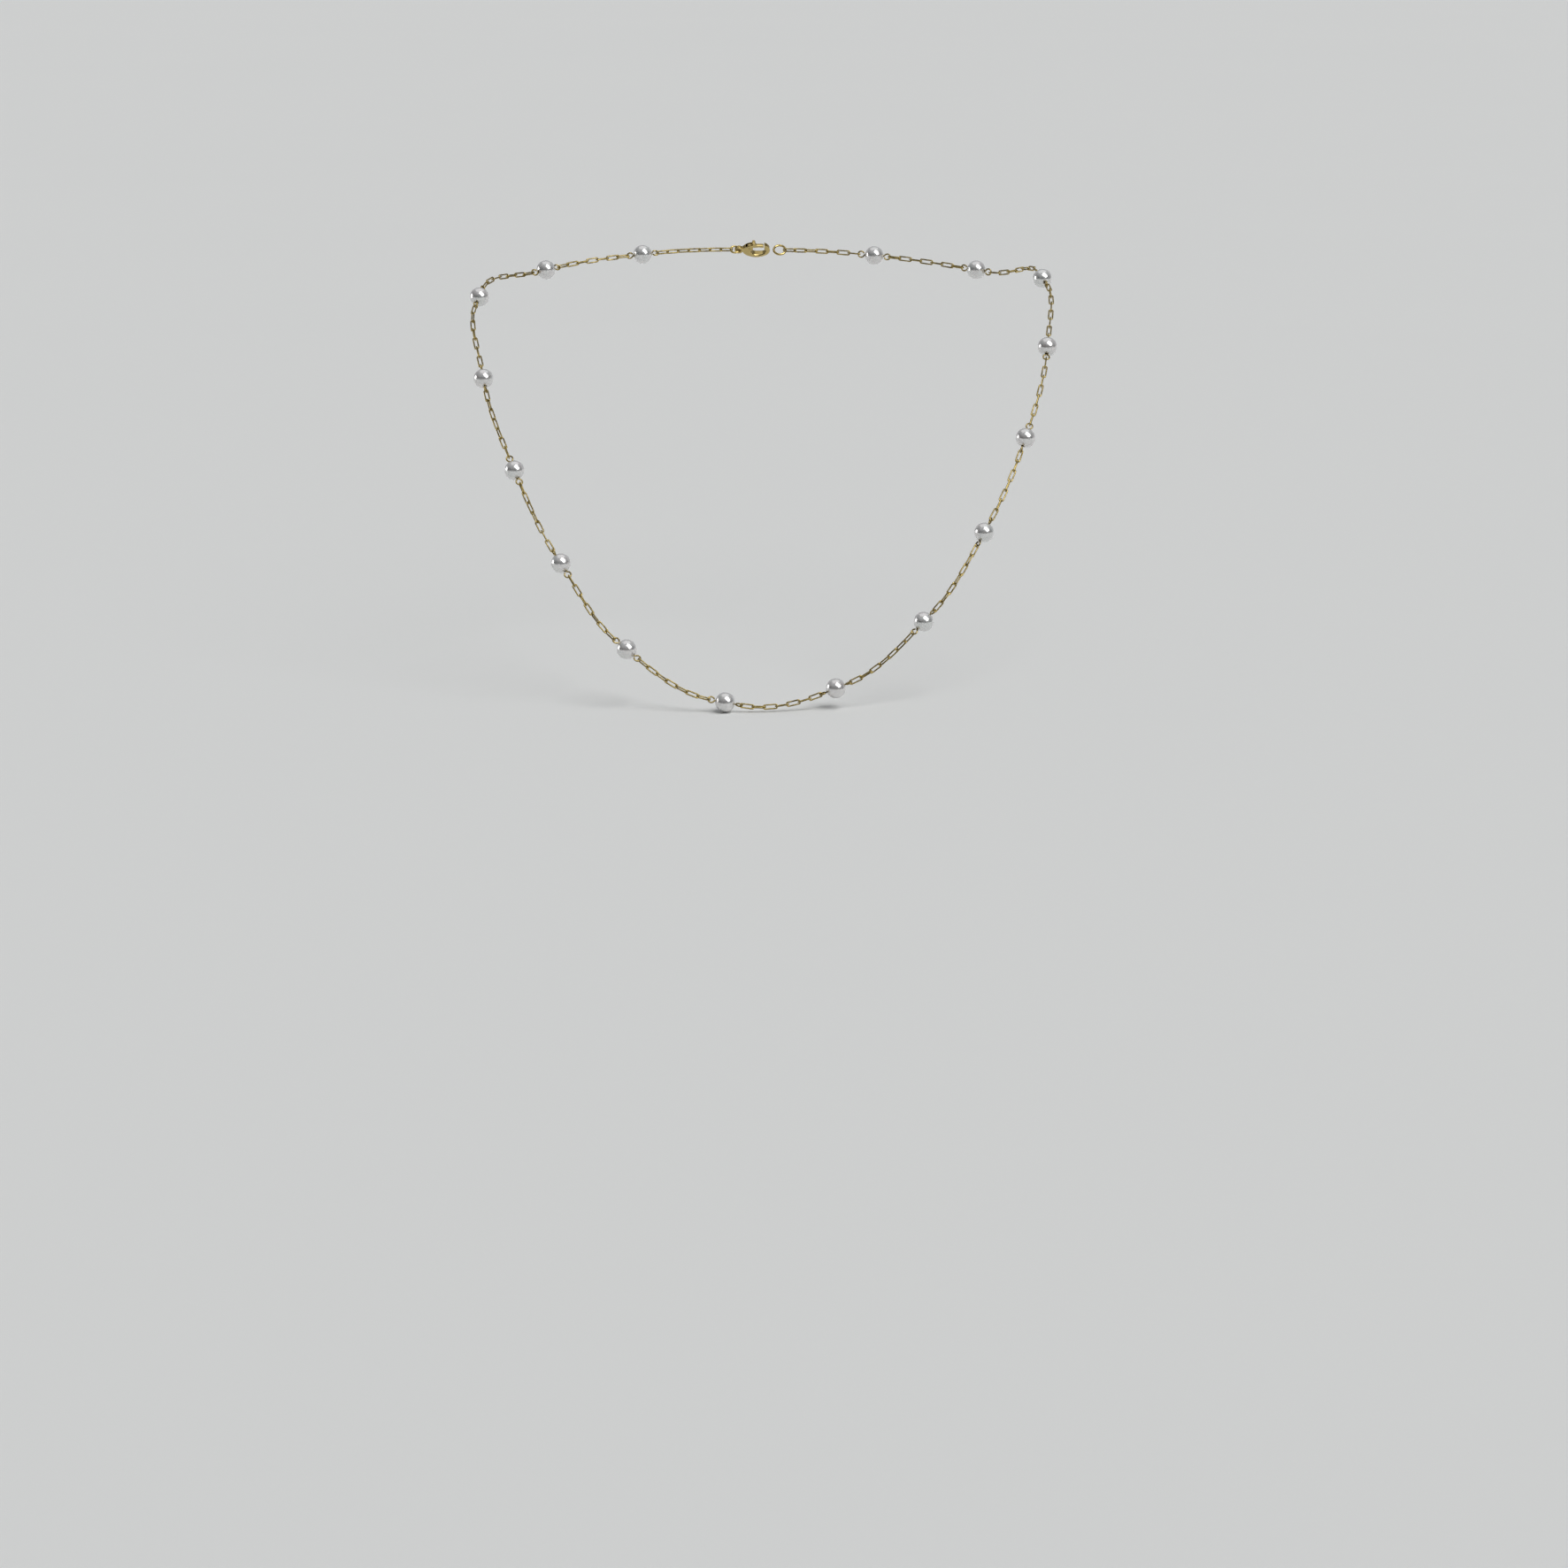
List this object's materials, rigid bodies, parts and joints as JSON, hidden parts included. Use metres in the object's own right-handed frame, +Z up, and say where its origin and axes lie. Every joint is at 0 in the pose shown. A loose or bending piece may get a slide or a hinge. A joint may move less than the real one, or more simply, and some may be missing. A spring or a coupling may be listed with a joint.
{
  "type": "pearl station necklace",
  "caption": "Draped station necklace: pearls on eye pins joined by runs of fine rectangular links, closed at the nape by a lobster clasp and a ring.",
  "frame": {"origin": "middle of the front run of links, where the necklace lies lowest on the wearer's chest", "axes": "+Z up, -Y the way the wearer faces, +X towards the wearer's left"},
  "size_m": [0.1528, 0.1159, 0.1044],
  "materials": {
    "pearl": "glossy white imitation pearl with a nacre sheen",
    "chain_gold": "polished pale yellow gold plating",
    "pin_gold": "polished pale yellow gold plating",
    "clasp_gold": "polished pale yellow gold plating",
    "spring_steel": "plain spring steel"
  },
  "bodies": {
    "front_run": {"chain_09": "chain_gold"},
    "pin_01": {"eye_pin_01": "pin_gold"},
    "pearl_01": {"pearl_01": "pearl"},
    "pin_02": {"eye_pin_02": "pin_gold"},
    "pearl_02": {"pearl_02": "pearl"},
    "pin_03": {"eye_pin_03": "pin_gold"},
    "pearl_03": {"pearl_03": "pearl"},
    "pin_04": {"eye_pin_04": "pin_gold"},
    "pearl_04": {"pearl_04": "pearl"},
    "pin_05": {"eye_pin_05": "pin_gold"},
    "pearl_05": {"pearl_05": "pearl"},
    "pin_06": {"eye_pin_06": "pin_gold"},
    "pearl_06": {"pearl_06": "pearl"},
    "pin_07": {"eye_pin_07": "pin_gold"},
    "pearl_07": {"pearl_07": "pearl"},
    "pin_08": {"eye_pin_08": "pin_gold"},
    "pearl_08": {"pearl_08": "pearl"},
    "pin_09": {"eye_pin_09": "pin_gold"},
    "pearl_09": {"pearl_09": "pearl"},
    "pin_10": {"eye_pin_10": "pin_gold"},
    "pearl_10": {"pearl_10": "pearl"},
    "pin_11": {"eye_pin_11": "pin_gold"},
    "pearl_11": {"pearl_11": "pearl"},
    "pin_12": {"eye_pin_12": "pin_gold"},
    "pearl_12": {"pearl_12": "pearl"},
    "pin_13": {"eye_pin_13": "pin_gold"},
    "pearl_13": {"pearl_13": "pearl"},
    "pin_14": {"eye_pin_14": "pin_gold"},
    "pearl_14": {"pearl_14": "pearl"},
    "pin_15": {"eye_pin_15": "pin_gold"},
    "pearl_15": {"pearl_15": "pearl"},
    "pin_16": {"eye_pin_16": "pin_gold"},
    "pearl_16": {"pearl_16": "pearl"},
    "run_01": {"chain_01": "chain_gold"},
    "run_02": {"chain_02": "chain_gold"},
    "run_03": {"chain_03": "chain_gold"},
    "run_04": {"chain_04": "chain_gold"},
    "run_05": {"chain_05": "chain_gold"},
    "run_06": {"chain_06": "chain_gold"},
    "run_07": {"chain_07": "chain_gold"},
    "run_08": {"chain_08": "chain_gold"},
    "run_10": {"chain_10": "chain_gold"},
    "run_11": {"chain_11": "chain_gold"},
    "run_12": {"chain_12": "chain_gold"},
    "run_13": {"chain_13": "chain_gold"},
    "run_14": {"chain_14": "chain_gold"},
    "run_15": {"chain_15": "chain_gold"},
    "run_16": {"chain_16": "chain_gold"},
    "run_17": {"chain_17": "chain_gold"},
    "clasp_ring": {"clasp_ring": "clasp_gold"},
    "clasp": {"clasp_body": "clasp_gold", "clasp_rivet": "clasp_gold", "clasp_spring": "spring_steel"},
    "clasp_lever": {"clasp_lever": "clasp_gold"},
    "end_ring": {"end_ring": "clasp_gold"}
  },
  "joints": [
    {"name": "clasp_lever_press", "type": "hinge", "parent": "clasp", "child": "clasp_lever", "pos_m": [-0.00878, 0.10945, 0.10126], "axis": [-0.0646, 0.7398, 0.6698], "range_deg": [0, 24], "stiffness_Nm_per_rad": 0.004, "springref_deg": -17.19, "deforming": ["clasp_spring"]},
    {"name": "clasp_ring_swing", "type": "hinge", "parent": "run_01", "child": "clasp_ring", "pos_m": [-0.01351, 0.10977, 0.10045], "axis": [0.068, -0.6664, 0.7425], "range_deg": [-15, 20]},
    {"name": "clasp_swing", "type": "hinge", "parent": "clasp_ring", "child": "clasp", "pos_m": [-0.01174, 0.10994, 0.10043], "axis": [-0.0646, 0.7398, 0.6698], "range_deg": [-20, 20]},
    {"name": "end_ring_swing", "type": "hinge", "parent": "run_17", "child": "end_ring", "pos_m": [0.00035, 0.11074, 0.10019], "axis": [0.0539, -0.6695, 0.7409], "range_deg": [-25, 20]},
    {"name": "pin_swing_08", "type": "hinge", "parent": "front_run", "child": "pin_08", "pos_m": [-0.00989, -0.00083, 0.00015], "axis": [0.1086, -0.6797, 0.7254], "range_deg": [0, 28]},
    {"name": "run_lift_08", "type": "hinge", "parent": "pin_08", "child": "run_08", "pos_m": [-0.01841, -0.00048, 0.00176], "axis": [0.1547, 0.7324, 0.6631], "range_deg": [-12, 20]},
    {"name": "pin_swing_07", "type": "hinge", "parent": "run_08", "child": "pin_07", "pos_m": [-0.03584, 0.00389, 0.01091], "axis": [0.1606, -0.7543, 0.6366], "range_deg": [0, 28]},
    {"name": "run_lift_07", "type": "hinge", "parent": "pin_07", "child": "run_07", "pos_m": [-0.04205, 0.00653, 0.0156], "axis": [0.6347, 0.5729, 0.5187], "range_deg": [-12, 20]},
    {"name": "pin_swing_06", "type": "hinge", "parent": "run_07", "child": "pin_06", "pos_m": [-0.05364, 0.01532, 0.02977], "axis": [0.1106, -0.789, 0.6044], "range_deg": [0, 28]},
    {"name": "run_lift_06", "type": "hinge", "parent": "pin_06", "child": "run_06", "pos_m": [-0.05763, 0.01901, 0.03532], "axis": [0.851, 0.3893, 0.3525], "range_deg": [-12, 20]},
    {"name": "pin_swing_05", "type": "hinge", "parent": "run_06", "child": "pin_05", "pos_m": [-0.0665, 0.02983, 0.05072], "axis": [0.0614, -0.7744, 0.6297], "range_deg": [0, 28]},
    {"name": "run_lift_05", "type": "hinge", "parent": "pin_05", "child": "run_05", "pos_m": [-0.06956, 0.03452, 0.05678], "axis": [0.9266, 0.2787, 0.2523], "range_deg": [-12, 20]},
    {"name": "pin_swing_04", "type": "hinge", "parent": "run_05", "child": "pin_04", "pos_m": [-0.07592, 0.04651, 0.07137], "axis": [0.0097, -0.7065, 0.7077], "range_deg": [0, 28]},
    {"name": "run_lift_04", "type": "hinge", "parent": "pin_04", "child": "run_04", "pos_m": [-0.07752, 0.05219, 0.07705], "axis": [0.9808, 0.1446, 0.131], "range_deg": [-12, 20]},
    {"name": "pin_swing_03", "type": "hinge", "parent": "run_04", "child": "pin_03", "pos_m": [-0.08003, 0.06704, 0.09057], "axis": [0.047, -0.4941, 0.8681], "range_deg": [0, 28]},
    {"name": "run_lift_03", "type": "hinge", "parent": "pin_03", "child": "run_03", "pos_m": [-0.07832, 0.07411, 0.0945], "axis": [0.9772, -0.1573, -0.1424], "range_deg": [-12, 20]},
    {"name": "pin_swing_02", "type": "hinge", "parent": "run_03", "child": "pin_02", "pos_m": [-0.06618, 0.09006, 0.09657], "axis": [0.2573, -0.5147, 0.8179], "range_deg": [0, 28]},
    {"name": "run_lift_02", "type": "hinge", "parent": "pin_02", "child": "run_02", "pos_m": [-0.05959, 0.09495, 0.09757], "axis": [0.5453, -0.6214, -0.5626], "range_deg": [-12, 20]},
    {"name": "pin_swing_01", "type": "hinge", "parent": "run_02", "child": "pin_01", "pos_m": [-0.04177, 0.10361, 0.09942], "axis": [0.146, -0.6331, 0.7602], "range_deg": [0, 28]},
    {"name": "run_lift_01", "type": "hinge", "parent": "pin_01", "child": "run_01", "pos_m": [-0.03354, 0.1062, 0.1], "axis": [0.2697, -0.7138, -0.6463], "range_deg": [-12, 20]},
    {"name": "pin_swing_09", "type": "hinge", "parent": "front_run", "child": "pin_09", "pos_m": [0.00967, 0.00219, 0.00227], "axis": [0.0696, 0.6915, -0.719], "range_deg": [0, 28]},
    {"name": "run_lift_10", "type": "hinge", "parent": "pin_09", "child": "run_10", "pos_m": [0.01721, 0.00417, 0.00491], "axis": [0.3955, -0.6808, -0.6164], "range_deg": [-12, 20]},
    {"name": "pin_swing_10", "type": "hinge", "parent": "run_10", "child": "pin_10", "pos_m": [0.03292, 0.01089, 0.01608], "axis": [0.1443, 0.7697, -0.6219], "range_deg": [0, 28]},
    {"name": "run_lift_11", "type": "hinge", "parent": "pin_10", "child": "run_11", "pos_m": [0.03831, 0.014, 0.02118], "axis": [0.7279, -0.5083, -0.4602], "range_deg": [-12, 20]},
    {"name": "pin_swing_11", "type": "hinge", "parent": "run_11", "child": "pin_11", "pos_m": [0.04922, 0.02285, 0.03588], "axis": [0.1084, 0.8017, -0.5878], "range_deg": [0, 28]},
    {"name": "run_lift_12", "type": "hinge", "parent": "pin_11", "child": "run_12", "pos_m": [0.05293, 0.02671, 0.04182], "axis": [0.8789, -0.3537, -0.3202], "range_deg": [-12, 20]},
    {"name": "pin_swing_12", "type": "hinge", "parent": "run_12", "child": "pin_12", "pos_m": [0.06084, 0.03724, 0.05734], "axis": [0.0501, 0.7756, -0.6293], "range_deg": [0, 28]},
    {"name": "run_lift_13", "type": "hinge", "parent": "pin_12", "child": "run_13", "pos_m": [0.06352, 0.04235, 0.06385], "axis": [0.95, -0.2314, -0.2095], "range_deg": [-12, 20]},
    {"name": "pin_swing_13", "type": "hinge", "parent": "run_13", "child": "pin_13", "pos_m": [0.06822, 0.05525, 0.07883], "axis": [-0.0039, 0.6465, -0.7629], "range_deg": [0, 28]},
    {"name": "run_lift_14", "type": "hinge", "parent": "pin_13", "child": "run_14", "pos_m": [0.06912, 0.06113, 0.08381], "axis": [0.9932, -0.0866, -0.0784], "range_deg": [-12, 20]},
    {"name": "pin_swing_14", "type": "hinge", "parent": "run_14", "child": "pin_14", "pos_m": [0.06981, 0.07811, 0.09467], "axis": [0.1003, 0.338, -0.9358], "range_deg": [0, 28]},
    {"name": "run_lift_15", "type": "hinge", "parent": "pin_14", "child": "run_15", "pos_m": [0.06778, 0.08602, 0.09731], "axis": [0.9664, 0.1904, 0.1724], "range_deg": [-12, 20]},
    {"name": "pin_swing_15", "type": "hinge", "parent": "run_15", "child": "pin_15", "pos_m": [0.0561, 0.10155, 0.09528], "axis": [0.1995, 0.5907, -0.7818], "range_deg": [0, 28]},
    {"name": "run_lift_16", "type": "hinge", "parent": "pin_15", "child": "run_16", "pos_m": [0.04881, 0.1051, 0.0961], "axis": [0.3992, 0.6797, 0.6154], "range_deg": [-12, 20]},
    {"name": "pin_swing_16", "type": "hinge", "parent": "run_16", "child": "pin_16", "pos_m": [0.02891, 0.10977, 0.09841], "axis": [-0.0061, 0.6717, -0.7408], "range_deg": [0, 28]},
    {"name": "run_lift_17", "type": "hinge", "parent": "pin_16", "child": "run_17", "pos_m": [0.02088, 0.11051, 0.09914], "axis": [0.1282, 0.7352, 0.6656], "range_deg": [-12, 20]},
    {"name": "pearl_spin_01", "type": "hinge", "parent": "pin_01", "child": "pearl_01", "pos_m": [-0.03768, 0.1049, 0.09971], "axis": [-0.9518, -0.2994, -0.0666], "continuous": true},
    {"name": "pearl_spin_02", "type": "hinge", "parent": "pin_02", "child": "pearl_02", "pos_m": [-0.06305, 0.09239, 0.09704], "axis": [-0.7978, -0.5907, -0.1207], "continuous": true},
    {"name": "pearl_spin_03", "type": "hinge", "parent": "pin_03", "child": "pearl_03", "pos_m": [-0.07915, 0.07069, 0.09259], "axis": [-0.207, -0.855, -0.4755], "continuous": true},
    {"name": "pearl_spin_04", "type": "hinge", "parent": "pin_04", "child": "pearl_04", "pos_m": [-0.07676, 0.04949, 0.07435], "axis": [0.1949, -0.6928, -0.6943], "continuous": true},
    {"name": "pearl_spin_05", "type": "hinge", "parent": "pin_05", "child": "pearl_05", "pos_m": [-0.06794, 0.03205, 0.05358], "axis": [0.3709, -0.568, -0.7347], "continuous": true},
    {"name": "pearl_spin_06", "type": "hinge", "parent": "pin_06", "child": "pearl_06", "pos_m": [-0.05563, 0.01716, 0.03254], "axis": [0.5134, -0.4754, -0.7144], "continuous": true},
    {"name": "pearl_spin_07", "type": "hinge", "parent": "pin_07", "child": "pearl_07", "pos_m": [-0.03877, 0.00513, 0.01312], "axis": [0.7559, -0.3208, -0.5707], "continuous": true},
    {"name": "pearl_spin_08", "type": "hinge", "parent": "pin_08", "child": "pearl_08", "pos_m": [-0.01414, -0.00066, 0.00096], "axis": [0.982, -0.0402, -0.1847], "continuous": true},
    {"name": "pearl_spin_09", "type": "hinge", "parent": "pin_09", "child": "pearl_09", "pos_m": [0.01344, 0.00318, 0.00359], "axis": [0.9158, 0.2415, 0.3209], "continuous": true},
    {"name": "pearl_spin_10", "type": "hinge", "parent": "pin_10", "child": "pearl_10", "pos_m": [0.03556, 0.01241, 0.01857], "axis": [0.6703, 0.3862, 0.6337], "continuous": true},
    {"name": "pearl_spin_11", "type": "hinge", "parent": "pin_11", "child": "pearl_11", "pos_m": [0.05113, 0.02484, 0.03894], "axis": [0.4646, 0.4819, 0.7429], "continuous": true},
    {"name": "pearl_spin_12", "type": "hinge", "parent": "pin_12", "child": "pearl_12", "pos_m": [0.06218, 0.0398, 0.0606], "axis": [0.3081, 0.5873, 0.7484], "continuous": true},
    {"name": "pearl_spin_13", "type": "hinge", "parent": "pin_13", "child": "pearl_13", "pos_m": [0.06867, 0.05819, 0.08131], "axis": [0.1168, 0.758, 0.6418], "continuous": true},
    {"name": "pearl_spin_14", "type": "hinge", "parent": "pin_14", "child": "pearl_14", "pos_m": [0.06878, 0.08212, 0.09601], "axis": [-0.2365, 0.9217, 0.3075], "continuous": true},
    {"name": "pearl_spin_15", "type": "hinge", "parent": "pin_15", "child": "pearl_15", "pos_m": [0.05238, 0.10336, 0.0957], "axis": [-0.8949, 0.4349, 0.1002], "continuous": true},
    {"name": "pearl_spin_16", "type": "hinge", "parent": "pin_16", "child": "pearl_16", "pos_m": [0.025, 0.11013, 0.09876], "axis": [-0.9917, 0.0909, 0.0906], "continuous": true}
  ]
}
